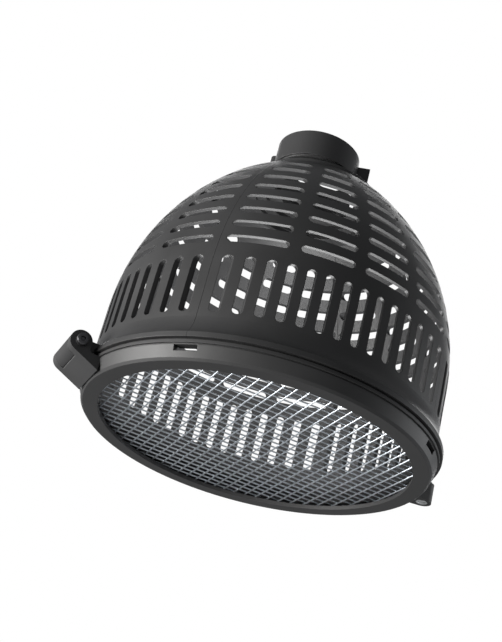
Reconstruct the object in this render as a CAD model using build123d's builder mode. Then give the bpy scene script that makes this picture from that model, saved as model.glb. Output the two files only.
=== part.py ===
from build123d import *
import math
import os

# Heat lamp guard: a slotted plastic dome that clamps on the neck of a lamp holder,
# closed below by a hinged bezel that carries a wire mesh. Millimetres, +Z towards the crown.
# The origin is on the dome's axis, in the middle of the land that grips the holder.
# The hinge of the bezel is at -X and its latch at +X.

os.makedirs("parts", exist_ok=True)

# Overall sizes, with heights measured from the underside of the cage's rim
rim_radius = 110.0
cage_wall = 2.5
rim_reach = 4.7
cylinder_height = 45.0
flare_height = 15.0
rim_thickness = 3.0
crown_height = 165.3
neck_radius = 22.5

# Clearances
fit_gap = 0.3
running_gap = 0.05
hinge_gap = 0.08

# Slots of the dome, cut straight along the middle direction of each quadrant
upright_count = 14
upright_width = 5.0
upright_low = 18.0
upright_high = 54.0
row_count = 8
row_first = 65.8
row_margin = 12.9
row_height = 5.0
rib_width = 6.2
rib_angle = 21.0
slot_start = 35.0

# Crown and collar cap
cap_radius = 42.2
cap_skirt = 2.0
cap_depth = 3.5
cap_plate = 2.0
cap_lip = 0.8
cap_opening_gap = 0.5
cap_lip_width = 2.6
crown_ledge = 6.2
crown_plate = 3.5
crown_rib_width = 1.9
shoulder_thickness = 2.9
shoulder_reach = 4.4
tab_half_angle = 21.0
tab_drop = 5.4
tab_wall = 1.6
barb_height = 1.9
barb_reach = 0.8
relief_inset = 5.6
relief_width = 3.2
relief_half_angle = 5.5

# Two-jaw clamp
clamp_height = 23.6
clamp_land = 4.1
clamp_wall = 2.5
clamp_chamfer = 0.6
spigot_wall = 2.8
spigot_flange = 1.2
top_land = 2.6
jaw_pin_angle = 163.0
jaw_pin_reach = 4.4
jaw_pin_radius = 1.25
knuckle_radius = 3.2
fixed_jaw_start = 28.0
hinged_jaw_end = 372.0
jaw_open_angle = -32.0
catch_depth = 5.4
hook_thickness = 2.1

# Bezel, ring and mesh
bezel_height = 11.8
bezel_step = 1.5
bezel_taper = 3.0
bezel_ledge = 8.5
bezel_floor = 2.5
bezel_flange = 2.8
groove_depth = 0.9
groove_height = 0.7
window_width = 14.0
window_height = 3.4
lug_reach = 1.1
ring_height = 2.8
ring_gap = 0.4
wire = 0.9
wire_pitch = 6.67
mesh_gap = 1.2

# Bezel hinge and latch
hinge_reach = 9.0
hinge_z = 2.0
ear_radius = 6.5
ear_width = 6.0
ear_centre = 15.0
screw_radius = 2.0
hinge_head_radius = 3.5
hinge_head_height = 4.0
hinge_screw_length = 40.0
nut_flats = 7.0
nut_height = 3.2
latch_reach = 5.0
lug_radius = 6.0
lug_height = 6.0
lug_root = 8.5
tab_height = 6.3
latch_head_radius = 4.9
latch_head_height = 2.4
latch_screw_length = 12.0

# Places that follow from the sizes above
cylinder_radius = rim_radius - rim_reach
clamp_radius = neck_radius + clamp_land
spigot_radius = neck_radius + spigot_wall
cap_opening = spigot_radius + cap_opening_gap
crown_opening = cap_opening + crown_ledge
relief_radius = cap_radius - relief_inset
shoulder_radius = cap_radius + shoulder_reach
catch_reach = clamp_radius + catch_depth
hook_reach = catch_reach + fit_gap + hook_thickness
jaw_pin_distance = clamp_radius + jaw_pin_reach
shoulder_z = crown_height - cap_depth - fit_gap
dome_run = cylinder_radius - shoulder_radius
dome_rise = shoulder_z - cylinder_height
dome_radius = (dome_run**2 + dome_rise**2) / (2 * dome_run)
dome_centre_r = cylinder_radius - dome_radius
dome_inner = dome_radius - cage_wall
shoulder_under = shoulder_z - shoulder_thickness
boss_radius = cap_radius - cap_skirt - fit_gap
cap_top = crown_height + cap_plate
lip_top = cap_top + cap_lip
clamp_low = crown_height - 0.1 - spigot_flange
clamp_top = clamp_low + clamp_height
land_top = lip_top + 1.3
rim_z = -(clamp_low + land_top) / 2
upright_pitch = cylinder_radius * math.sqrt(2) / (upright_count + 0.32)
row_pitch = (shoulder_under - row_margin - row_first) / (row_count - 1)
bezel_top_radius = rim_radius - bezel_step
bezel_low_radius = bezel_top_radius - bezel_taper
bezel_bore = cylinder_radius - cage_wall + 0.4
bezel_opening = bezel_bore - bezel_ledge
ring_inner = bezel_opening + 0.2
mesh_radius = bezel_bore - mesh_gap
hinge_x = -rim_radius - hinge_reach
latch_x = rim_radius + latch_reach
ear_inner = ear_centre - ear_width / 2
ear_outer = ear_centre + ear_width / 2
mesh_floor = -bezel_height + bezel_floor
ring_floor = mesh_floor + 2 * wire
ring_outer = bezel_bore - ring_gap
jaw_pin_x = jaw_pin_distance * math.cos(math.radians(jaw_pin_angle))
jaw_pin_y = jaw_pin_distance * math.sin(math.radians(jaw_pin_angle))


def dome_r(radius, height):
    """Distance from the axis of an arc of the dome at a height above the rim."""
    return dome_centre_r + math.sqrt(radius**2 - (height - cylinder_height) ** 2)


def sector(inner, outer, start, end):
    """Ring sector between two radii and two angles in degrees, as a face on the sketch plane."""
    first = (math.cos(math.radians(start)), math.sin(math.radians(start)))
    last = (math.cos(math.radians(end)), math.sin(math.radians(end)))
    with BuildSketch(mode=Mode.PRIVATE) as face:
        with BuildLine():
            CenterArc((0, 0), outer, start, end - start)
            CenterArc((0, 0), inner, start, end - start)
            Line((inner * first[0], inner * first[1]), (outer * first[0], outer * first[1]))
            Line((inner * last[0], inner * last[1]), (outer * last[0], outer * last[1]))
        make_face()
    return face.sketch


def lug_outline(root):
    """Plan of the latch lug and of the tab under it: a round end on a root that widens."""
    with BuildSketch(mode=Mode.PRIVATE) as outline:
        with Locations((latch_x, 0)):
            Circle(lug_radius)
        with BuildLine():
            Polyline(
                (latch_x + 1.0, lug_radius - 0.1),
                (latch_x + 1.0, -lug_radius + 0.1),
                (root, -lug_root),
                (root, lug_root),
                close=True,
            )
        make_face()
    return outline.sketch


# Dome cage: one moulding with rim, slotted wall, slotted dome, crown plate, barrel and latch lug
with BuildPart() as dome_cage:
    with BuildSketch(Plane(origin=(0, 0, rim_z), x_dir=(1, 0, 0), z_dir=(0, -1, 0))) as cage_profile:
        with BuildLine() as cage_outline:
            bore_r = cylinder_radius - cage_wall
            rib_r = boss_radius - crown_rib_width
            Line((bore_r, 0), (rim_radius, 0))
            Line((rim_radius, 0), (rim_radius, rim_thickness))
            TangentArc((cylinder_radius, flare_height), (rim_radius, rim_thickness), tangent=(0, -1))
            Line((cylinder_radius, flare_height), (cylinder_radius, cylinder_height))
            RadiusArc(
                (cylinder_radius, cylinder_height),
                (dome_r(dome_radius, shoulder_z), shoulder_z),
                -dome_radius,
            )
            Line((dome_r(dome_radius, shoulder_z), shoulder_z), (boss_radius, shoulder_z))
            Line((boss_radius, shoulder_z), (boss_radius, crown_height))
            Line((boss_radius, crown_height), (crown_opening, crown_height))
            Line((crown_opening, crown_height), (crown_opening, crown_height - crown_plate))
            Line((crown_opening, crown_height - crown_plate), (rib_r, crown_height - crown_plate))
            Line((rib_r, crown_height - crown_plate), (rib_r, shoulder_under))
            Line((rib_r, shoulder_under), (dome_r(dome_inner, shoulder_under), shoulder_under))
            RadiusArc(
                (dome_r(dome_inner, shoulder_under), shoulder_under),
                (bore_r, cylinder_height),
                dome_inner,
            )
            Line((bore_r, cylinder_height), (bore_r, 0))
        make_face()
    revolve(axis=Axis.Z)
    for quadrant in range(4):
        turn = quadrant * 90
        ahead = (math.cos(math.radians(turn)), math.sin(math.radians(turn)), 0)
        across = (-ahead[1], ahead[0], 0)
        slot_plane = Plane(origin=(0, 0, rim_z), x_dir=across, z_dir=ahead)
        with BuildSketch(slot_plane.offset(slot_start)) as slots:
            upright_middle = (upright_low + upright_high) / 2
            for step in range(upright_count):
                side = (step - (upright_count - 1) / 2) * upright_pitch
                with Locations((side, upright_middle)):
                    SlotOverall(upright_high - upright_low, upright_width, rotation=90)
            for row in range(row_count):
                level = row_first + row * row_pitch
                reach = dome_r(dome_radius, level)
                rib_side = reach * math.sin(math.radians(rib_angle))
                seam_side = reach * math.sin(math.radians(45))
                inner_width = rib_side - rib_width
                outer_width = seam_side - rib_side - rib_width
                for hand in (-1, 1):
                    with Locations((hand * rib_side / 2, level)):
                        SlotOverall(inner_width, row_height)
                    with Locations((hand * (rib_side + seam_side) / 2, level)):
                        SlotOverall(outer_width, row_height)
        extrude(amount=rim_radius - slot_start, mode=Mode.SUBTRACT)
    # Pockets through the shoulder that the cap's spring tabs pass, with room to bend inwards
    with BuildSketch(Plane.XY.offset(rim_z + shoulder_under - 1)) as tab_pockets:
        for quadrant in range(4):
            middle = quadrant * 90
            half = tab_half_angle + 1.0
            add(sector(boss_radius - 1.6, cap_radius + fit_gap, middle - half, middle + half))
    extrude(amount=crown_height - shoulder_under + 2, mode=Mode.SUBTRACT)
    # Barrel of the bezel hinge on its arm
    with BuildSketch(Plane.XZ.offset(ear_inner - fit_gap)) as barrel_profile:
        with Locations((hinge_x, rim_z + hinge_z)):
            Circle(ear_radius)
        with BuildLine():
            Polyline(
                (hinge_x, rim_z + hinge_z + 4.6),
                (-cylinder_radius + 1, rim_z + rim_thickness + 3.6),
                (-cylinder_radius + 1, rim_z),
                (hinge_x, rim_z),
                close=True,
            )
        make_face()
    extrude(amount=-2 * (ear_inner - fit_gap))
    with Locations(Location((hinge_x, 0, rim_z + hinge_z), (90, 0, 0))):
        Hole(screw_radius + hinge_gap)
    # Latch lug
    with BuildSketch(Plane.XY.offset(rim_z)) as lug_plan:
        add(lug_outline(cylinder_radius - 1))
    extrude(amount=lug_height)
    with Locations((latch_x, 0, rim_z + lug_height)):
        Hole(screw_radius + 0.15, depth=lug_height + 1)
dome_cage.part.label = "dome_cage"
export_step(dome_cage.part, "parts/dome_cage.step")

# Collar cap: snaps on the crown and carries the clamp in its opening
with BuildPart() as collar_cap:
    with BuildSketch(Plane.XY.offset(rim_z + crown_height)) as cap_disc:
        Circle(cap_radius)
        Circle(cap_opening, mode=Mode.SUBTRACT)
    extrude(amount=cap_plate)
    chamfer(collar_cap.edges().group_by(Axis.Z)[-1].sort_by(SortBy.RADIUS)[-1:], 0.6)
    with BuildSketch(Plane.XY.offset(rim_z + crown_height - cap_depth)) as skirt_ring:
        Circle(cap_radius)
        Circle(cap_radius - cap_skirt, mode=Mode.SUBTRACT)
    extrude(amount=cap_depth)
    # Raised lip round the opening, left open beside the catch
    with BuildSketch(Plane.XY.offset(rim_z + cap_top)) as lip_ring:
        add(sector(cap_opening, cap_opening + cap_lip_width, 70, 374))
    extrude(amount=cap_lip)
    # Spring tabs with barbs that hook under the shoulder
    with BuildSketch(Plane.XY.offset(rim_z + crown_height - cap_depth)) as tab_plan:
        for quadrant in range(4):
            middle = quadrant * 90
            half = tab_half_angle
            add(sector(cap_radius - tab_wall, cap_radius, middle - half, middle + half))
    extrude(amount=-tab_drop)
    with BuildSketch(Plane.XY.offset(rim_z + crown_height - cap_depth - tab_drop)) as barb_plan:
        for quadrant in range(4):
            middle = quadrant * 90
            half = tab_half_angle - 6
            outer = cap_radius + fit_gap + barb_reach
            add(sector(cap_radius - 0.4, outer, middle - half, middle + half))
    extrude(amount=barb_height)
    # Relief slots that free the ends of each tab
    with BuildSketch(Plane.XY.offset(rim_z + crown_height - 1)) as relief_plan:
        for quadrant in range(4):
            for hand in (-1, 1):
                middle = quadrant * 90 + hand * tab_half_angle
                low = relief_radius - relief_width / 2
                high = relief_radius + relief_width / 2
                half = relief_half_angle
                add(sector(low, high, middle - half, middle + half))
    extrude(amount=cap_plate + 2, mode=Mode.SUBTRACT)
collar_cap.part.label = "collar_cap"
export_step(collar_cap.part, "parts/collar_cap.step")

# Fixed jaw: its spigot hooks under the edge of the cap's opening
with BuildPart() as fixed_jaw:
    pin_side = jaw_pin_angle - 1.0
    with BuildSketch(Plane.XY.offset(rim_z + lip_top + 0.1)) as fixed_band:
        add(sector(clamp_radius - clamp_wall, clamp_radius, fixed_jaw_start, pin_side))
    extrude(amount=clamp_top - lip_top - 0.1)
    with BuildSketch(Plane.XY.offset(rim_z + clamp_low)) as fixed_spigot:
        add(sector(neck_radius, spigot_radius, fixed_jaw_start, pin_side))
    extrude(amount=land_top - clamp_low)
    with BuildSketch(Plane.XY.offset(rim_z + clamp_low)) as fixed_flange:
        add(sector(spigot_radius - 0.5, clamp_radius, fixed_jaw_start, pin_side))
    extrude(amount=spigot_flange)
    with BuildSketch(Plane.XY.offset(rim_z + clamp_top - top_land)) as fixed_top:
        add(sector(neck_radius, clamp_radius - 0.5, fixed_jaw_start, pin_side))
    extrude(amount=top_land)
    # Catch box at the free end
    with BuildSketch(Plane.XY.offset(rim_z + cap_top + 0.1)) as catch_plan:
        add(sector(neck_radius + 0.4, catch_reach, fixed_jaw_start - 5, fixed_jaw_start + 2))
    extrude(amount=clamp_top - cap_top - 0.1)
    # Outer knuckles
    knuckle_low = lip_top + 0.1
    knuckle_step = (clamp_top - knuckle_low) / 3
    with BuildSketch(Plane.XY.offset(rim_z + knuckle_low)) as fixed_knuckle:
        with Locations((jaw_pin_x, jaw_pin_y)):
            Circle(knuckle_radius)
        add(sector(clamp_radius - 1.5, jaw_pin_distance, pin_side - 6, pin_side + 1))
    extrude(amount=clamp_top - knuckle_low)
    with BuildSketch(Plane.XY.offset(rim_z + knuckle_low + knuckle_step)) as knuckle_gap:
        with Locations((jaw_pin_x, jaw_pin_y)):
            Circle(knuckle_radius + fit_gap)
    extrude(amount=knuckle_step, mode=Mode.SUBTRACT)
    with Locations((jaw_pin_x, jaw_pin_y, rim_z + clamp_top)):
        Hole(jaw_pin_radius + running_gap)
    fixed_edges = fixed_jaw.edges().group_by(Axis.Z)[-1].filter_by(GeomType.CIRCLE)
    chamfer(fixed_edges.filter_by(lambda edge: abs(edge.radius - clamp_radius) < 0.01), clamp_chamfer)
fixed_jaw.part.label = "fixed_jaw"
export_step(fixed_jaw.part, "parts/fixed_jaw.step")

# Hinged jaw, drawn shut and then turned open about its pin
with BuildPart() as shut_jaw:
    pin_end = jaw_pin_angle + 7.0
    hinged_low = lip_top + fit_gap
    with BuildSketch(Plane.XY.offset(rim_z + hinged_low + 1.0)) as hinged_band:
        add(sector(clamp_radius - clamp_wall, clamp_radius, pin_end, hinged_jaw_end))
    extrude(amount=clamp_top - hinged_low - 1.0)
    with BuildSketch(Plane.XY.offset(rim_z + hinged_low)) as hinged_spigot:
        add(sector(neck_radius, spigot_radius, pin_end, hinged_jaw_end))
    extrude(amount=2.6)
    with BuildSketch(Plane.XY.offset(rim_z + clamp_top - top_land)) as hinged_top:
        add(sector(neck_radius, clamp_radius - 0.5, pin_end, hinged_jaw_end))
    extrude(amount=top_land)
    # Hook arm that reaches over the catch
    hook_low = clamp_top - 17.0
    hook_height = 13.0
    with BuildSketch(Plane.XY.offset(rim_z + hook_low)) as hook_plan:
        add(sector(clamp_radius - 1.0, catch_reach + fit_gap, 366, hinged_jaw_end))
        add(sector(catch_reach + fit_gap, hook_reach, 366, 392))
        add(sector(catch_reach - 1.6, hook_reach, 390.6, 393))
    extrude(amount=hook_height)
    # Middle knuckle
    with BuildSketch(Plane.XY.offset(rim_z + knuckle_low + knuckle_step + fit_gap)) as knuckle:
        with Locations((jaw_pin_x, jaw_pin_y)):
            Circle(knuckle_radius)
        add(sector(clamp_radius - 1.5, jaw_pin_distance, jaw_pin_angle + 2, pin_end + 3))
    extrude(amount=knuckle_step - 2 * fit_gap)
    with Locations((jaw_pin_x, jaw_pin_y, rim_z + clamp_top)):
        Hole(jaw_pin_radius + running_gap)
    hinged_edges = shut_jaw.edges().group_by(Axis.Z)[-1].filter_by(GeomType.CIRCLE)
    chamfer(hinged_edges.filter_by(lambda edge: abs(edge.radius - clamp_radius) < 0.01), clamp_chamfer)
with BuildPart() as hinged_jaw:
    jaw_axis = Axis((jaw_pin_x, jaw_pin_y, 0), (0, 0, 1))
    add(shut_jaw.part.rotate(jaw_axis, jaw_open_angle))
hinged_jaw.part.label = "hinged_jaw"
export_step(hinged_jaw.part, "parts/hinged_jaw.step")

# Pin of the jaws
with BuildPart() as jaw_pin:
    with BuildSketch(Plane.XY.offset(rim_z + knuckle_low)) as pin_plan:
        with Locations((jaw_pin_x, jaw_pin_y)):
            Circle(jaw_pin_radius)
    extrude(amount=clamp_top - knuckle_low)
    with BuildSketch(Plane.XY.offset(rim_z + clamp_top)) as pin_head:
        with Locations((jaw_pin_x, jaw_pin_y)):
            Circle(jaw_pin_radius + 0.9)
    extrude(amount=0.8)
jaw_pin.part.label = "jaw_pin"
export_step(jaw_pin.part, "parts/jaw_pin.step")

# Bezel: ring moulding with a floor for the mesh, snap lugs, hinge ears and latch tab
with BuildPart() as bezel:
    with BuildSketch(Plane(origin=(0, 0, rim_z), x_dir=(1, 0, 0), z_dir=(0, -1, 0))) as bezel_profile:
        with BuildLine():
            under = -bezel_flange - groove_height
            Polyline(
                (bezel_bore, 0),
                (bezel_top_radius - 1.0, 0),
                (bezel_top_radius, -1.0),
                (bezel_top_radius, -bezel_flange),
                (bezel_top_radius - groove_depth - 0.5, -bezel_flange),
                (bezel_top_radius - groove_depth - 0.5, under),
                (bezel_top_radius - groove_depth, under),
                (bezel_low_radius, -bezel_height + 1.4),
                (bezel_low_radius - 1.4, -bezel_height),
                (bezel_opening, -bezel_height),
                (bezel_opening, mesh_floor),
                (bezel_bore, mesh_floor),
                close=True,
            )
        make_face()
    revolve(axis=Axis.Z)
    # Hinge arm: round ears on a web that runs tangent to them from the foot of the wall
    foot_x = -bezel_low_radius
    foot_z = -bezel_height + 0.6
    away = math.hypot(foot_x - hinge_x, foot_z - hinge_z)
    lean = math.atan2(foot_z - hinge_z, foot_x - hinge_x) - math.acos(ear_radius / away)
    tangent_x = hinge_x + ear_radius * math.cos(lean)
    tangent_z = hinge_z + ear_radius * math.sin(lean)
    with BuildSketch(Plane.XZ.offset(ear_outer)) as arm_profile:
        with Locations((hinge_x, rim_z + hinge_z)):
            Circle(ear_radius)
        with BuildLine():
            Polyline(
                (hinge_x, rim_z + hinge_z),
                (tangent_x, rim_z + tangent_z),
                (foot_x, rim_z + foot_z),
                (foot_x, rim_z - bezel_flange),
                (hinge_x + ear_radius + 1.2, rim_z - bezel_flange),
                (hinge_x + ear_radius, rim_z - bezel_flange + 1.2),
                (hinge_x + ear_radius, rim_z + hinge_z),
                close=True,
            )
        make_face()
    extrude(amount=-2 * ear_outer)
    with BuildSketch(Plane.XZ.offset(ear_inner)) as barrel_space:
        with Locations((hinge_x, rim_z + hinge_z)):
            Circle(ear_radius + 0.6)
    extrude(amount=-2 * ear_inner, mode=Mode.SUBTRACT)
    with Locations(Location((hinge_x, 0, rim_z + hinge_z), (90, 0, 0))):
        Hole(screw_radius + running_gap)
    # Latch tab with a nut pocket from below
    with BuildSketch(Plane.XY.offset(rim_z)) as tab_outline:
        add(lug_outline(bezel_low_radius - 1))
    extrude(amount=-tab_height)
    with Locations((latch_x, 0, rim_z)):
        Hole(screw_radius + 0.15, depth=tab_height + 1)
    with BuildSketch(Plane.XY.offset(rim_z - tab_height)) as nut_pocket:
        with Locations((latch_x, 0)):
            RegularPolygon(nut_flats / 2 + running_gap, 6, major_radius=False, rotation=30)
    extrude(amount=nut_height, mode=Mode.SUBTRACT)
    # Four windows on the diagonals, each with a snap lug over the ring
    for quadrant in range(4):
        turn = quadrant * 90 + 45
        ahead = (math.cos(math.radians(turn)), math.sin(math.radians(turn)), 0)
        across = (-ahead[1], ahead[0], 0)
        window_z = rim_z + ring_floor + ring_height - window_height + 1.2
        window_plane = Plane(origin=(0, 0, window_z), x_dir=across, z_dir=ahead)
        with BuildSketch(window_plane.offset(bezel_bore - 3)) as window:
            with Locations((0, window_height / 2)):
                Rectangle(window_width, window_height)
        extrude(amount=8, mode=Mode.SUBTRACT)
        with BuildSketch(window_plane.offset(bezel_bore - lug_reach)) as snap_lug:
            with Locations((0, window_height + 0.6)):
                Rectangle(window_width - 2, 1.2)
        extrude(amount=lug_reach + 1.0)
bezel.part.label = "bezel"
export_step(bezel.part, "parts/bezel.step")

# Retaining ring: lies on the mesh, under the snap lugs
with BuildPart() as retaining_ring:
    with BuildSketch(Plane.XY.offset(rim_z + ring_floor)) as ring_plan:
        Circle(ring_outer)
        Circle(ring_inner, mode=Mode.SUBTRACT)
    extrude(amount=ring_height)
retaining_ring.part.label = "retaining_ring"
export_step(retaining_ring.part, "parts/retaining_ring.step")

# Welded wire mesh: a lower layer of wires along Y and an upper layer along X
wire_side = int(mesh_radius // wire_pitch)
with BuildPart() as mesh_lower_wires:
    for step in range(-wire_side, wire_side + 1):
        side = step * wire_pitch
        length = 2 * math.sqrt(mesh_radius**2 - side**2)
        with Locations((side, 0, rim_z + mesh_floor + wire / 2)):
            Box(wire, length, wire)
mesh_lower_wires.part.label = "mesh_lower_wires"
export_step(mesh_lower_wires.part, "parts/mesh_lower_wires.step")

with BuildPart() as mesh_upper_wires:
    for step in range(-wire_side, wire_side + 1):
        side = step * wire_pitch
        length = 2 * math.sqrt(mesh_radius**2 - side**2)
        with Locations((0, side, rim_z + mesh_floor + wire * 1.5)):
            Box(length, wire, wire)
mesh_upper_wires.part.label = "mesh_upper_wires"
export_step(mesh_upper_wires.part, "parts/mesh_upper_wires.step")

# Hinge screw through the ears and the barrel, head towards -Y
with BuildPart() as hinge_screw:
    with BuildSketch(Plane.XZ.offset(ear_outer)) as hinge_shank:
        with Locations((hinge_x, rim_z + hinge_z)):
            Circle(screw_radius)
    extrude(amount=-hinge_screw_length)
    with BuildSketch(Plane.XZ.offset(ear_outer)) as hinge_head:
        with Locations((hinge_x, rim_z + hinge_z)):
            Circle(hinge_head_radius)
    extrude(amount=hinge_head_height)
    with BuildSketch(Plane.XZ.offset(ear_outer + hinge_head_height)) as hinge_socket:
        with Locations((hinge_x, rim_z + hinge_z)):
            RegularPolygon(1.5, 6, major_radius=False)
    extrude(amount=-2.0, mode=Mode.SUBTRACT)
hinge_screw.part.label = "hinge_screw"
export_step(hinge_screw.part, "parts/hinge_screw.step")

# Nut of the hinge screw
with BuildPart() as hinge_nut:
    with BuildSketch(Plane.XZ.offset(-ear_outer)) as hinge_nut_plan:
        with Locations((hinge_x, rim_z + hinge_z)):
            RegularPolygon(nut_flats / 2, 6, major_radius=False)
            Circle(screw_radius + running_gap, mode=Mode.SUBTRACT)
    extrude(amount=-nut_height)
hinge_nut.part.label = "hinge_nut"
export_step(hinge_nut.part, "parts/hinge_nut.step")

# Latch screw: low wide head with a cross slot
with BuildPart() as latch_screw:
    with BuildSketch(Plane.XY.offset(rim_z + lug_height)) as latch_shank:
        with Locations((latch_x, 0)):
            Circle(screw_radius)
    extrude(amount=-latch_screw_length)
    with BuildSketch(Plane.XY.offset(rim_z + lug_height)) as latch_head:
        with Locations((latch_x, 0)):
            Circle(latch_head_radius)
    extrude(amount=latch_head_height)
    chamfer(latch_screw.edges().group_by(Axis.Z)[-1], 1.1)
    with BuildSketch(Plane.XY.offset(rim_z + lug_height + latch_head_height)) as cross:
        with Locations((latch_x, 0)):
            Rectangle(4.0, 0.9)
            Rectangle(0.9, 4.0)
    extrude(amount=-1.4, mode=Mode.SUBTRACT)
latch_screw.part.label = "latch_screw"
export_step(latch_screw.part, "parts/latch_screw.step")

# Nut of the latch screw, in its pocket
with BuildPart() as latch_nut:
    with BuildSketch(Plane.XY.offset(rim_z - tab_height)) as latch_nut_plan:
        with Locations((latch_x, 0)):
            RegularPolygon(nut_flats / 2, 6, major_radius=False, rotation=30)
            Circle(screw_radius + running_gap, mode=Mode.SUBTRACT)
    extrude(amount=nut_height)
latch_nut.part.label = "latch_nut"
export_step(latch_nut.part, "parts/latch_nut.step")
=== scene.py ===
import bpy
import math
import numpy as np
from mathutils import Matrix, Vector


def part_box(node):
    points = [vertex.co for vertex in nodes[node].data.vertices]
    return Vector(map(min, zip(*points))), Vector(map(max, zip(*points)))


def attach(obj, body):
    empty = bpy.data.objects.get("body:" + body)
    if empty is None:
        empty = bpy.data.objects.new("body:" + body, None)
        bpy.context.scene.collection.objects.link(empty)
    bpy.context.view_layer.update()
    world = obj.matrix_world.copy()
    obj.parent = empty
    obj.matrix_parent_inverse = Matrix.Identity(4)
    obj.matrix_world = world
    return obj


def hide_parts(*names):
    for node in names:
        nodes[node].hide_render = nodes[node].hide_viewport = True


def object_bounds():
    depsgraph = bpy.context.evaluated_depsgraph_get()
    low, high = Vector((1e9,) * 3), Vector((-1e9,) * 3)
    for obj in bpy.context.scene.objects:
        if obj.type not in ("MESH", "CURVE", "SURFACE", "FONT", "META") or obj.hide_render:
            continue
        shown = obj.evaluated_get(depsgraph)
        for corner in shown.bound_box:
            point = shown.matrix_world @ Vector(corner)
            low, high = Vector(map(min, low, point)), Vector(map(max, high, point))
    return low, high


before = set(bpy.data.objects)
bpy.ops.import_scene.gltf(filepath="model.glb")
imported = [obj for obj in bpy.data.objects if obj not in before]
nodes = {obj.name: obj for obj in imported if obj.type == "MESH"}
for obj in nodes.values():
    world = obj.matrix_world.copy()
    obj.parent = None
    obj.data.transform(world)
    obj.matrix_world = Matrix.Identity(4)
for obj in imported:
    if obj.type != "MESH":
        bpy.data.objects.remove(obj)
cad_low, cad_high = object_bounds()

# Studio: the guard hangs well above a pale floor, because the photograph looks up at it
# from below its rim. The room is white to the camera and a soft grey to the plastic.
scene = bpy.context.scene
scene.view_settings.view_transform = "Standard"
rim_height = -0.1667
sensor_width = 36.0
image_height = 642
focal_pixels = 779.394
# Zoomed in, because the guard put together is smaller than the exploded one in the photograph
closer = 1.65

camera_data = bpy.data.cameras.new("photograph_camera")
camera_data.sensor_width = sensor_width
camera_data.lens = sensor_width * focal_pixels / image_height * closer
camera = bpy.data.objects.new("photograph_camera", camera_data)
scene.collection.objects.link(camera)
scene.camera = camera
camera_place = Vector((-0.2296, -0.6696, -0.2895 + rim_height))
camera_right = Vector((0.90126, -0.35503, 0.24830)).normalized()
camera_back = Vector((-0.24104, -0.88712, -0.39357)).normalized()
camera_up = camera_back.cross(camera_right).normalized()
turned = Matrix((camera_up.cross(camera_back), camera_up, camera_back)).transposed()
# The camera keeps the photograph's place and roll, and turns a little to put the guard in
# the middle of the frame: the middle of its outline lies left of and below its box's middle.
shift_left = 0.022
shift_down = 0.014
outline_middle = (cad_low + cad_high) / 2 - shift_left * camera_right - shift_down * camera_up
onto_guard = camera_back.rotation_difference(camera_place - outline_middle)
camera.matrix_world = Matrix.Translation(camera_place) @ (onto_guard.to_matrix() @ turned).to_4x4()

world = bpy.data.worlds.new("studio_air")
scene.world = world
world.use_nodes = True
air = world.node_tree
air.nodes.clear()
air_out = air.nodes.new("ShaderNodeOutputWorld")
air_soft = air.nodes.new("ShaderNodeBackground")
air_soft.inputs["Color"].default_value = (0.93, 0.96, 1.0, 1.0)
air_soft.inputs["Strength"].default_value = 0.15
air_white = air.nodes.new("ShaderNodeBackground")
air_white.inputs["Color"].default_value = (1.0, 1.0, 1.0, 1.0)
air_white.inputs["Strength"].default_value = 1.0


def pale_share(tree, to_camera, to_gloss):
    """Share of plain white in what a ray meets: one part for the camera's rays and for those
    through clear things, another for reflections, and none for the light on the guard."""
    path = tree.nodes.new("ShaderNodeLightPath")
    direct = tree.nodes.new("ShaderNodeMath")
    direct.operation = "MAXIMUM"
    tree.links.new(path.outputs["Is Camera Ray"], direct.inputs[0])
    tree.links.new(path.outputs["Is Transmission Ray"], direct.inputs[1])
    mirrored = tree.nodes.new("ShaderNodeMath")
    mirrored.operation = "MULTIPLY"
    tree.links.new(path.outputs["Is Glossy Ray"], mirrored.inputs[0])
    mirrored.inputs[1].default_value = to_gloss / to_camera
    either = tree.nodes.new("ShaderNodeMath")
    either.operation = "MAXIMUM"
    tree.links.new(direct.outputs[0], either.inputs[0])
    tree.links.new(mirrored.outputs[0], either.inputs[1])
    share = tree.nodes.new("ShaderNodeMath")
    share.operation = "MULTIPLY"
    tree.links.new(either.outputs[0], share.inputs[0])
    share.inputs[1].default_value = to_camera
    return share.outputs[0]


air_pick = air.nodes.new("ShaderNodeMixShader")
air.links.new(pale_share(air, to_camera=1.0, to_gloss=0.15), air_pick.inputs[0])
air.links.new(air_soft.outputs[0], air_pick.inputs[1])
air.links.new(air_white.outputs[0], air_pick.inputs[2])
air.links.new(air_pick.outputs[0], air_out.inputs["Surface"])


def soft_lamp(name, place, target, size, power, colour):
    """Square area lamp at a place, turned to face a target point."""
    data = bpy.data.lights.new(name, "AREA")
    data.size = size
    data.energy = power
    data.color = colour
    lamp = bpy.data.objects.new(name, data)
    lamp.location = place
    lamp.rotation_mode = "QUATERNION"
    lamp.rotation_quaternion = (Vector(target) - Vector(place)).to_track_quat("-Z", "Y")
    lamp.visible_camera = False
    scene.collection.objects.link(lamp)


plain_white = (1.0, 1.0, 1.0)
warm_white = (1.0, 0.99, 0.97)
cool_white = (0.96, 0.98, 1.0)
dome_middle = (0.0, 0.0, -0.09)
soft_lamp("left_softbox", (-1.20, 0.0, -0.40), dome_middle, size=0.6, power=38.0, colour=warm_white)
soft_lamp("right_softbox", (1.2, -0.1, -0.1), dome_middle, size=0.7, power=5.0, colour=cool_white)
soft_lamp("back_softbox", (0.5, 1.15, 0.65), dome_middle, size=1.3, power=19.0, colour=plain_white)
# A weak lamp just above the mesh lights the dome's inside, which shows grey behind the slots
crown_middle = (0.0, 0.0, 0.0)
above_mesh = (0.0, 0.0, -0.165)
soft_lamp("inner_softbox", above_mesh, crown_middle, size=0.12, power=0.48, colour=plain_white)

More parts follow.
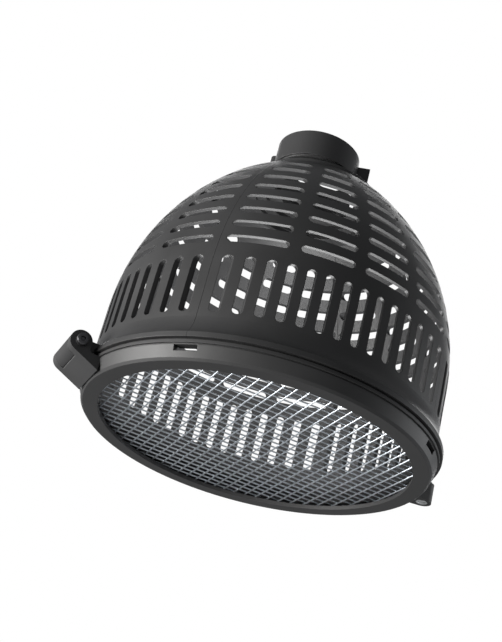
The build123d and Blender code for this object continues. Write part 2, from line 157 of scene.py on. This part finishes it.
floor_mesh = bpy.data.meshes.new("studio_floor")
floor_drop = 1.60
floor_z = rim_height - floor_drop
floor_radius = 25.0
floor_sides = 96
floor_turn = np.linspace(0.0, 2 * math.pi, floor_sides, endpoint=False)
floor_x = floor_radius * np.cos(floor_turn)
floor_y = floor_radius * np.sin(floor_turn)
floor_rim = np.stack([floor_x, floor_y, np.full(floor_sides, floor_z)], axis=1)
floor_mesh.from_pydata(floor_rim.tolist(), [], [list(range(floor_sides))])
floor = bpy.data.objects.new("studio_floor", floor_mesh)
scene.collection.objects.link(floor)
floor_paint = bpy.data.materials.new("studio_floor_paint")
floor_paint.use_nodes = True
floor_tree = floor_paint.node_tree
floor_shader = floor_tree.nodes["Principled BSDF"]
floor_shader.inputs["Roughness"].default_value = 0.8
floor_noise = floor_tree.nodes.new("ShaderNodeTexNoise")
floor_noise.inputs["Scale"].default_value = 3.0
floor_ramp = floor_tree.nodes.new("ShaderNodeValToRGB")
floor_ramp.color_ramp.elements[0].color = (0.80, 0.80, 0.80, 1.0)
floor_ramp.color_ramp.elements[1].color = (0.86, 0.86, 0.86, 1.0)
floor_tree.links.new(floor_noise.outputs["Fac"], floor_ramp.inputs["Fac"])
floor_tree.links.new(floor_ramp.outputs["Color"], floor_shader.inputs["Base Color"])
floor_white = floor_tree.nodes.new("ShaderNodeEmission")
floor_white.inputs["Color"].default_value = (1.0, 1.0, 1.0, 1.0)
floor_pick = floor_tree.nodes.new("ShaderNodeMixShader")
floor_tree.links.new(pale_share(floor_tree, to_camera=0.90, to_gloss=0.15), floor_pick.inputs[0])
floor_tree.links.new(floor_shader.outputs[0], floor_pick.inputs[1])
floor_tree.links.new(floor_white.outputs[0], floor_pick.inputs[2])
floor_tree.links.new(floor_pick.outputs[0], floor_tree.nodes["Material Output"].inputs["Surface"])
floor_mesh.materials.append(floor_paint)


# Dome cage: one injection moulding in black heat-resistant plastic, with a fine spark-eroded
# grain. Its four tool slides leave faint parting lines down the wide ribs at the diagonals,
# from the crown over the wall to the rim.
def moulded_plastic(name, shade, roughness, grain, parting=False):
    """Black moulded plastic: noise for cloudiness and grain, corners painted a little greyer,
    partly rubbed wear and partly a painted edge highlight, and with parting a raised dark line
    where tool slides meet, on both diagonals of the X-Y plane."""
    material = bpy.data.materials.new(name)
    material.use_nodes = True
    tree = material.node_tree
    links = tree.links
    shader = tree.nodes["Principled BSDF"]
    shader.inputs["IOR"].default_value = 1.49
    shader.inputs["Specular IOR Level"].default_value = 0.4
    place = tree.nodes.new("ShaderNodeTexCoord")
    cloud = tree.nodes.new("ShaderNodeTexNoise")
    cloud.inputs["Scale"].default_value = 28.0
    cloud.inputs["Detail"].default_value = 5.0
    links.new(place.outputs["Object"], cloud.inputs["Vector"])
    tone = tree.nodes.new("ShaderNodeValToRGB")
    tone.color_ramp.elements[0].position = 0.3
    tone.color_ramp.elements[0].color = (shade * 0.86, shade * 0.86, shade * 0.88, 1.0)
    tone.color_ramp.elements[1].position = 0.75
    tone.color_ramp.elements[1].color = (shade * 1.16, shade * 1.16, shade * 1.19, 1.0)
    links.new(cloud.outputs["Fac"], tone.inputs["Fac"])
    speck = tree.nodes.new("ShaderNodeTexNoise")
    speck.inputs["Scale"].default_value = grain
    speck.inputs["Detail"].default_value = 3.0
    links.new(place.outputs["Object"], speck.inputs["Vector"])
    gloss = tree.nodes.new("ShaderNodeMapRange")
    gloss.inputs["To Min"].default_value = roughness - 0.07
    gloss.inputs["To Max"].default_value = roughness + 0.09
    links.new(cloud.outputs["Fac"], gloss.inputs["Value"])
    links.new(gloss.outputs["Result"], shader.inputs["Roughness"])
    bump = tree.nodes.new("ShaderNodeBump")
    bump.inputs["Strength"].default_value = 0.16
    bump.inputs["Distance"].default_value = 0.0002
    links.new(speck.outputs["Fac"], bump.inputs["Height"])
    edge = tree.nodes.new("ShaderNodeBevel")
    edge.samples = 4
    edge.inputs["Radius"].default_value = 0.0005
    links.new(edge.outputs["Normal"], bump.inputs["Normal"])
    # Lighter corners, partly rubbed wear and partly a painted edge highlight: where the rounded normal
    # leaves the face's own, broken up by the clouds
    flat = tree.nodes.new("ShaderNodeNewGeometry")
    corner = tree.nodes.new("ShaderNodeVectorMath")
    corner.operation = "DOT_PRODUCT"
    links.new(edge.outputs["Normal"], corner.inputs[0])
    links.new(flat.outputs["Normal"], corner.inputs[1])
    rubbed_and_highlit = tree.nodes.new("ShaderNodeMapRange")
    rubbed_and_highlit.inputs["From Min"].default_value = 0.72
    rubbed_and_highlit.inputs["From Max"].default_value = 0.98
    rubbed_and_highlit.inputs["To Min"].default_value = 1.0
    rubbed_and_highlit.inputs["To Max"].default_value = 0.0
    links.new(corner.outputs["Value"], rubbed_and_highlit.inputs["Value"])
    patchy_wear_and_highlight = tree.nodes.new("ShaderNodeMath")
    patchy_wear_and_highlight.operation = "MULTIPLY"
    links.new(rubbed_and_highlit.outputs["Result"], patchy_wear_and_highlight.inputs[0])
    links.new(cloud.outputs["Fac"], patchy_wear_and_highlight.inputs[1])
    # Painted edge highlight and rubbed wear: a lighter grey mixed in at the corners
    wear_and_highlight_grey = tree.nodes.new("ShaderNodeMix")
    wear_and_highlight_grey.data_type = "RGBA"
    links.new(patchy_wear_and_highlight.outputs[0], wear_and_highlight_grey.inputs[0])
    links.new(tone.outputs["Color"], wear_and_highlight_grey.inputs[6])
    wear_and_highlight_grey.inputs[7].default_value = (shade * 3.2, shade * 3.2, shade * 3.3, 1.0)
    painted = wear_and_highlight_grey
    last = bump
    if parting:
        split = tree.nodes.new("ShaderNodeSeparateXYZ")
        links.new(place.outputs["Object"], split.inputs["Vector"])
        sides = []
        for axis in ("X", "Y"):
            side = tree.nodes.new("ShaderNodeMath")
            side.operation = "ABSOLUTE"
            links.new(split.outputs[axis], side.inputs[0])
            sides.append(side)
        apart = tree.nodes.new("ShaderNodeMath")
        apart.operation = "SUBTRACT"
        links.new(sides[0].outputs[0], apart.inputs[0])
        links.new(sides[1].outputs[0], apart.inputs[1])
        near = tree.nodes.new("ShaderNodeMath")
        near.operation = "ABSOLUTE"
        links.new(apart.outputs[0], near.inputs[0])
        ridge = tree.nodes.new("ShaderNodeMapRange")
        ridge.inputs["From Min"].default_value = 0.0
        ridge.inputs["From Max"].default_value = 0.0004
        ridge.inputs["To Min"].default_value = 1.0
        ridge.inputs["To Max"].default_value = 0.0
        links.new(near.outputs[0], ridge.inputs["Value"])
        line = tree.nodes.new("ShaderNodeBump")
        line.inputs["Strength"].default_value = 0.6
        line.inputs["Distance"].default_value = 0.0003
        links.new(ridge.outputs["Result"], line.inputs["Height"])
        links.new(bump.outputs["Normal"], line.inputs["Normal"])
        last = line
        darker = tree.nodes.new("ShaderNodeMix")
        darker.data_type = "RGBA"
        links.new(ridge.outputs["Result"], darker.inputs[0])
        links.new(wear_and_highlight_grey.outputs[2], darker.inputs[6])
        darker.inputs[7].default_value = (shade * 0.45, shade * 0.45, shade * 0.46, 1.0)
        painted = darker
    links.new(painted.outputs[2], shader.inputs["Base Color"])
    links.new(last.outputs["Normal"], shader.inputs["Normal"])
    return material


def dress(node, material):
    """Gives a CAD node one material in place of its plain one."""
    mesh = nodes[node].data
    mesh.materials.clear()
    mesh.materials.append(material)


cage_plastic = moulded_plastic("cage_plastic", shade=0.026, roughness=0.44, grain=2600.0, parting=True)
dress("dome_cage", cage_plastic)

# Collar cap: a small separate moulding in the same plastic, with a smoother tool finish.
# It snaps on the crown, and its skirt and spring tabs show the lighter corners, partly rubbed wear and
# partly a painted highlight.
cap_plastic = moulded_plastic("cap_plastic", shade=0.028, roughness=0.40, grain=3000.0)
dress("collar_cap", cap_plastic)

# Jaws of the clamp: stiff glass-filled plastic, a little greyer and rougher than the dome.
# The two halves are moulded alike and turn on one pin.
jaw_plastic = moulded_plastic("jaw_plastic", shade=0.030, roughness=0.46, grain=2200.0)
dress("fixed_jaw", jaw_plastic)
dress("hinged_jaw", jaw_plastic)

# Bezel and retaining ring: mouldings in the dome's plastic, the ring snapped in under the
# lugs. Both catch a softer light on their rounded rims.
bezel_plastic = moulded_plastic("bezel_plastic", shade=0.030, roughness=0.52, grain=2600.0)
dress("bezel", bezel_plastic)
ring_plastic = moulded_plastic("ring_plastic", shade=0.022, roughness=0.48, grain=2600.0)
dress("retaining_ring", ring_plastic)


# Wire mesh: galvanised steel wires, 0.9 mm thick, laid in two layers and spot welded at every
# crossing. The wires are cut off short under the retaining ring.
def metal(name, colour, roughness, mottle_scale, mottle_bump):
    """Plated steel: one fine noise gives the plating its uneven tone, gloss and grain."""
    material = bpy.data.materials.new(name)
    material.use_nodes = True
    tree = material.node_tree
    links = tree.links
    shader = tree.nodes["Principled BSDF"]
    shader.inputs["Metallic"].default_value = 1.0
    place = tree.nodes.new("ShaderNodeTexCoord")
    mottle = tree.nodes.new("ShaderNodeTexNoise")
    mottle.inputs["Scale"].default_value = mottle_scale
    mottle.inputs["Detail"].default_value = 6.0
    links.new(place.outputs["Object"], mottle.inputs["Vector"])
    tone = tree.nodes.new("ShaderNodeValToRGB")
    tone.color_ramp.elements[0].position = 0.3
    tone.color_ramp.elements[0].color = (*[c * 0.8 for c in colour], 1.0)
    tone.color_ramp.elements[1].position = 0.7
    tone.color_ramp.elements[1].color = (*[min(c * 1.12, 1.0) for c in colour], 1.0)
    links.new(mottle.outputs["Fac"], tone.inputs["Fac"])
    links.new(tone.outputs["Color"], shader.inputs["Base Color"])
    gloss = tree.nodes.new("ShaderNodeMapRange")
    gloss.inputs["To Min"].default_value = roughness - 0.06
    gloss.inputs["To Max"].default_value = roughness + 0.12
    links.new(mottle.outputs["Fac"], gloss.inputs["Value"])
    links.new(gloss.outputs["Result"], shader.inputs["Roughness"])
    bump = tree.nodes.new("ShaderNodeBump")
    bump.inputs["Strength"].default_value = mottle_bump
    bump.inputs["Distance"].default_value = 0.00005
    links.new(mottle.outputs["Fac"], bump.inputs["Height"])
    links.new(bump.outputs["Normal"], shader.inputs["Normal"])
    return material


def grid_faces(rows, columns, first=0):
    """Quads between neighbouring rows of a grid that is closed round its columns."""
    row, column = np.meshgrid(np.arange(rows - 1), np.arange(columns), indexing="ij")
    here = row * columns + column
    beside = row * columns + (column + 1) % columns
    quads = np.stack([here, beside, beside + columns, here + columns], axis=-1)
    return first + quads.reshape(-1, 4)


def piece(name, points, faces, material, smooth=True):
    """A mesh object of points and faces in the frame's metres, with one material."""
    mesh = bpy.data.meshes.new(name)
    mesh.from_pydata(points.tolist(), [], [list(f) for f in faces])
    mesh.validate()
    mesh.update()
    mesh.polygons.foreach_set("use_smooth", [smooth] * len(mesh.polygons))
    mesh.materials.append(material)
    made = bpy.data.objects.new(name, mesh)
    scene.collection.objects.link(made)
    return made


wire_radius = 0.00045
wire_pitch = 0.00667
mesh_radius = 0.102
wire_side = int(mesh_radius // wire_pitch)
wire_steel = metal(
    "galvanised_wire", (0.62, 0.66, 0.71), roughness=0.34, mottle_scale=900.0, mottle_bump=0.3
)


def wire_layer(name, node, along, round_sides=10):
    """One straight closed tube a wire: ring (cos t, sin t) * radius at each end, chamfered by
    a smaller ring, repeated at whole steps of the pitch and as long as its chord of the disc."""
    low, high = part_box(node)
    level = (low.z + high.z) / 2
    chamfer = 0.0001
    end_share = 0.7
    turn = np.linspace(0.0, 2 * math.pi, round_sides, endpoint=False)
    all_points = []
    all_faces = []
    count = 0
    for step in range(-wire_side, wire_side + 1):
        side = step * wire_pitch
        half = math.sqrt(mesh_radius**2 - side**2) - chamfer
        stations = np.array([-half, -half + chamfer, half - chamfer, half])
        radii = np.array([end_share, 1.0, 1.0, end_share]) * wire_radius
        across = side + radii[:, None] * np.cos(turn)[None, :]
        up = level + radii[:, None] * np.sin(turn)[None, :]
        run = np.repeat(stations[:, None], round_sides, axis=1)
        points = (run, across, up) if along == "X" else (across, run, up)
        all_points.append(np.stack(points, axis=-1).reshape(-1, 3))
        quads = grid_faces(len(stations), round_sides, count)
        if along == "X":
            quads = quads[:, ::-1]
        first_ring = list(range(count, count + round_sides))
        last_ring = [point + (len(stations) - 1) * round_sides for point in first_ring]
        ends = [first_ring, last_ring[::-1]]
        if along == "Y":
            ends = [end[::-1] for end in ends]
        all_faces += quads.tolist() + ends
        count += len(stations) * round_sides
    made = piece(name, np.concatenate(all_points), all_faces, wire_steel)
    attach(made, "bezel_frame")
    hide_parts(node)


wire_layer("mesh_wires_lower", "mesh_lower_wires", "Y")
wire_layer("mesh_wires_upper", "mesh_upper_wires", "X")

# Welds of the mesh: where two wires cross, the electrodes press them into each other and
# leave a small flattened bead between the layers.
weld_radius = 0.00052
weld_height = 0.00034
weld_rows = 4
weld_columns = 8
weld_edge = 0.001
weld_pole = 0.12
weld_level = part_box("mesh_lower_wires")[1].z
places = np.arange(-wire_side, wire_side + 1) * wire_pitch
weld_x, weld_y = (side.ravel() for side in np.meshgrid(places, places))
kept = np.hypot(weld_x, weld_y) < mesh_radius - weld_edge
weld_x, weld_y = weld_x[kept], weld_y[kept]
# Bead surface: (radius sin v cos u, radius sin v sin u, height cos v), one copy a crossing
weld_v = np.linspace(weld_pole, math.pi - weld_pole, weld_rows)
weld_u = np.linspace(0.0, 2 * math.pi, weld_columns, endpoint=False)
bead = np.stack(
    [
        weld_radius * np.outer(np.sin(weld_v), np.cos(weld_u)),
        weld_radius * np.outer(np.sin(weld_v), np.sin(weld_u)),
        weld_height * np.outer(np.cos(weld_v), np.ones(weld_columns)),
    ],
    axis=-1,
).reshape(-1, 3)
weld_centres = np.stack([weld_x, weld_y, np.full(len(weld_x), weld_level)], axis=-1)
weld_points = (weld_centres[:, None, :] + bead[None, :, :]).reshape(-1, 3)
bead_count = weld_rows * weld_columns
bead_faces = grid_faces(weld_rows, weld_columns)[:, ::-1].tolist()
bead_faces.append(list(range(weld_columns)))
bead_faces.append(list(range(bead_count - weld_columns, bead_count))[::-1])
weld_faces = [[i + n * bead_count for i in face] for n in range(len(weld_x)) for face in bead_faces]
welds = piece("mesh_welds", weld_points, weld_faces, wire_steel)
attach(welds, "bezel_frame")


# Hinge screw: M4 socket head cap screw, blackened. The head is knurled round its side and has
# a hexagon socket, and the thread is cut on the last part of the shank.
def hexagon(turn, flats, lean=0.0):
    """Distance from the middle to a hexagon's side: half the flats over the cosine of the
    angle to the nearest flat."""
    step = math.pi / 3
    return flats / 2 / np.cos(np.mod(turn - lean + step / 2, step) - step / 2)


def thread(turn, height, radius, pitch, depth):
    """Radius of a V thread: the crest less the depth times a triangle wave of height over
    pitch less the turn."""
    phase = np.mod(height / pitch - turn / (2 * math.pi), 1.0)
    return radius - depth * (1.0 - np.abs(2.0 * phase - 1.0))


def turned_part(name, rows, axis_x, axis_y, axis_z, origin, material, closed=False):
    """Surface of rows (height, radii round the turn) on a shaft: origin + height * axis_z +
    radius * (cos t * axis_x + sin t * axis_y), capped at both ends unless it closes on itself."""
    columns = len(rows[0][1])
    turn = np.linspace(0.0, 2 * math.pi, columns, endpoint=False)
    heights = np.array([row[0] for row in rows])[:, None, None]
    radii = np.array([row[1] for row in rows])[:, :, None]
    around = np.cos(turn)[:, None] * np.array(axis_x) + np.sin(turn)[:, None] * np.array(axis_y)
    points = np.array(origin) + heights * np.array(axis_z) + radii * around[None]
    count = len(rows)
    faces = grid_faces(count, columns).tolist()
    if closed:
        last = (count - 1) * columns
        beside = [(c + 1) % columns for c in range(columns)]
        faces += [[last + c, last + beside[c], beside[c], c] for c in range(columns)]
    else:
        faces.append(list(range(columns))[::-1])
        faces.append(list(range((count - 1) * columns, count * columns)))
    return piece(name, points.reshape(-1, 3), faces, material, smooth=False)


def flat_to_smooth(made, degrees):
    """Smooth shading with the edges sharper than an angle kept crisp."""
    mesh = made.data
    mesh.polygons.foreach_set("use_smooth", [True] * len(mesh.polygons))
    mesh.set_sharp_from_angle(angle=math.radians(degrees))


screw_columns = 72
screw_turn = np.linspace(0.0, 2 * math.pi, screw_columns, endpoint=False)
round_row = np.ones(screw_columns)
black_steel = metal(
    "blackened_steel", (0.10, 0.10, 0.105), roughness=0.38, mottle_scale=700.0, mottle_bump=0.4
)
screw_low, screw_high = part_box("hinge_screw")
screw_axis = ((screw_low.x + screw_high.x) / 2, screw_low.y, (screw_low.z + screw_high.z) / 2)
screw_length = screw_high.y - screw_low.y
head_radius = (screw_high.x - screw_low.x) / 2
head_height = 0.004
shank_radius = 0.002
knurl_depth = 0.028
knurl_ridges = 24
socket_flats = 0.003
socket_depth = 0.0018
socket_point = 0.0022
pole_radius = 0.00002
smooth_shank = 0.0180
socket_lead = 0.0001
head_round = 0.0005
end_chamfer = 0.0003
tip_radius = shank_radius - 0.0006
knurl = 1.0 - knurl_depth * (0.5 + 0.5 * np.cos(knurl_ridges * screw_turn))
socket_row = hexagon(screw_turn, socket_flats)
screw_rows = [
    (socket_point, round_row * pole_radius),
    (socket_depth, socket_row * 0.98),
    (socket_lead, socket_row),
    (0.0, socket_row * 1.06),
    (0.0, round_row * (head_radius - head_round)),
    (0.6 * head_round, round_row * (head_radius - 0.2 * head_round)),
    (head_round, round_row * head_radius * knurl),
    (head_height - end_chamfer, round_row * head_radius * knurl),
    (head_height, round_row * (head_radius - end_chamfer)),
    (head_height, round_row * shank_radius),
    (head_height + smooth_shank, round_row * shank_radius),
]
thread_pitch = 0.0007
thread_depth = 0.00038
thread_start = head_height + smooth_shank + 0.0005
thread_stop = 0.0004
thread_step = thread_pitch / 6
for height in np.arange(thread_start, screw_length - thread_stop, thread_step):
    screw_rows.append((height, thread(screw_turn, height, shank_radius, thread_pitch, thread_depth)))
screw_rows.append((screw_length - end_chamfer, round_row * (shank_radius - thread_depth)))
screw_rows.append((screw_length, round_row * tip_radius))
hinge_screw = turned_part(
    "hinge_cap_screw", screw_rows, (1, 0, 0), (0, 0, -1), (0, 1, 0), screw_axis, black_steel
)
flat_to_smooth(hinge_screw, 40)
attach(hinge_screw, "bezel_frame")
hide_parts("hinge_screw")


# Nuts: M4 hexagon nuts, cold formed, with both faces chamfered at the corners. The hinge's
# nut is blackened and the latch's zinc plated.
def hex_nut(name, node, axis_x, axis_y, axis_z, origin, lean, material):
    """Nut on a shaft: hexagon sides cut back to a cone at each face, and a threaded bore."""
    flats = 0.007
    height = 0.0032
    bore = 0.00205
    cone = 0.0005
    cone_out = 0.00018
    face_in = 0.00008
    lead = 0.0003
    thread_out = 0.00012
    corner = hexagon(screw_turn, flats, lean)
    cone_row = np.minimum(corner, flats / 2 + cone_out)
    face = round_row * (flats / 2 - face_in)
    mouth = round_row * (bore + lead)
    rows = [
        (0.0, mouth),
        (0.0, face),
        (cone / 2, cone_row),
        (cone, corner),
        (height - cone, corner),
        (height - cone / 2, cone_row),
        (height, face),
        (height, mouth),
    ]
    for level in np.arange(height - lead, cone / 2, -thread_step):
        rows.append((level, thread(screw_turn, level, bore + thread_out, thread_pitch, 0.0001)))
    made = turned_part(name, rows, axis_x, axis_y, axis_z, origin, material, closed=True)
    flat_to_smooth(made, 28)
    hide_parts(node)
    return made


nut_low, nut_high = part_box("hinge_nut")
nut_place = ((nut_low.x + nut_high.x) / 2, nut_low.y, (nut_low.z + nut_high.z) / 2)
hinge_nut = hex_nut(
    "hinge_hex_nut", "hinge_nut", (1, 0, 0), (0, 0, -1), (0, 1, 0), nut_place, math.pi / 6, black_steel
)
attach(hinge_nut, "bezel_frame")
zinc_steel = metal(
    "zinc_plated_steel", (0.70, 0.71, 0.72), roughness=0.28, mottle_scale=700.0, mottle_bump=0.3
)
nut_low, nut_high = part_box("latch_nut")
nut_place = ((nut_low.x + nut_high.x) / 2, (nut_low.y + nut_high.y) / 2, nut_low.z)
latch_nut = hex_nut(
    "latch_hex_nut", "latch_nut", (1, 0, 0), (0, 1, 0), (0, 0, 1), nut_place, 0.0, zinc_steel
)
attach(latch_nut, "bezel_frame")

# Latch screw: M4 pan head screw with a cross recess, zinc plated. The head is domed and its
# cross is pressed in, tapering towards the bottom.
pan_low, pan_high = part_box("latch_screw")
pan_middle = ((pan_low.x + pan_high.x) / 2, (pan_low.y + pan_high.y) / 2, pan_high.z)
pan_length = pan_high.z - pan_low.z
pan_radius = (pan_high.x - pan_low.x) / 2
pan_height = 0.0024
pan_dome = 0.0019
flat_share = 0.56
cross_reach = 0.0022
cross_width = 0.0008
cross_depth = 0.0013


def cross(turn, reach, width):
    """Distance from the middle to a rounded cross: its width between the bars, which rises to
    its reach from about 31 to 16 degrees off the nearest bar."""
    bar = np.maximum(np.abs(np.cos(turn)), np.abs(np.sin(turn)))
    return width + (reach - width) * np.clip((bar - 0.86) / 0.10, 0.0, 1.0)


pan_rows = [
    (cross_depth + 0.0001, round_row * pole_radius),
    (cross_depth, cross(screw_turn, cross_reach / 2, cross_width / 2)),
    (0.00005, cross(screw_turn, cross_reach - 0.0001, cross_width - 0.0001)),
    (0.0, cross(screw_turn, cross_reach, cross_width)),
    (0.0, round_row * pan_radius * flat_share),
]
# Dome of the head: a quarter ellipse from the flat top to the rim
for angle in np.linspace(0.15, 1.0, 7) * math.pi / 2:
    reach = pan_radius * (flat_share + (1 - flat_share) * math.sin(angle))
    pan_rows.append((pan_dome * (1 - math.cos(angle)), round_row * reach))
pan_rows += [
    (pan_height - 0.00015, round_row * pan_radius),
    (pan_height, round_row * (pan_radius - 0.0002)),
    (pan_height, round_row * shank_radius),
    (pan_height + 0.0004, round_row * shank_radius),
]
for height in np.arange(pan_height + 0.0006, pan_length - thread_stop, thread_step):
    pan_rows.append((height, thread(screw_turn, height, shank_radius, thread_pitch, thread_depth)))
pan_rows.append((pan_length - end_chamfer, round_row * (shank_radius - thread_depth)))
pan_rows.append((pan_length, round_row * tip_radius))
latch_screw = turned_part(
    "latch_pan_screw", pan_rows, (1, 0, 0), (0, -1, 0), (0, 0, -1), pan_middle, zinc_steel
)
flat_to_smooth(latch_screw, 40)
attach(latch_screw, "latch")
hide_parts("latch_screw")

# Jaw pin: a blackened steel rivet, pressed through the knuckles of both jaws from above. Its
# low head holds the clamp together while the hinged jaw turns.
dress("jaw_pin", black_steel)
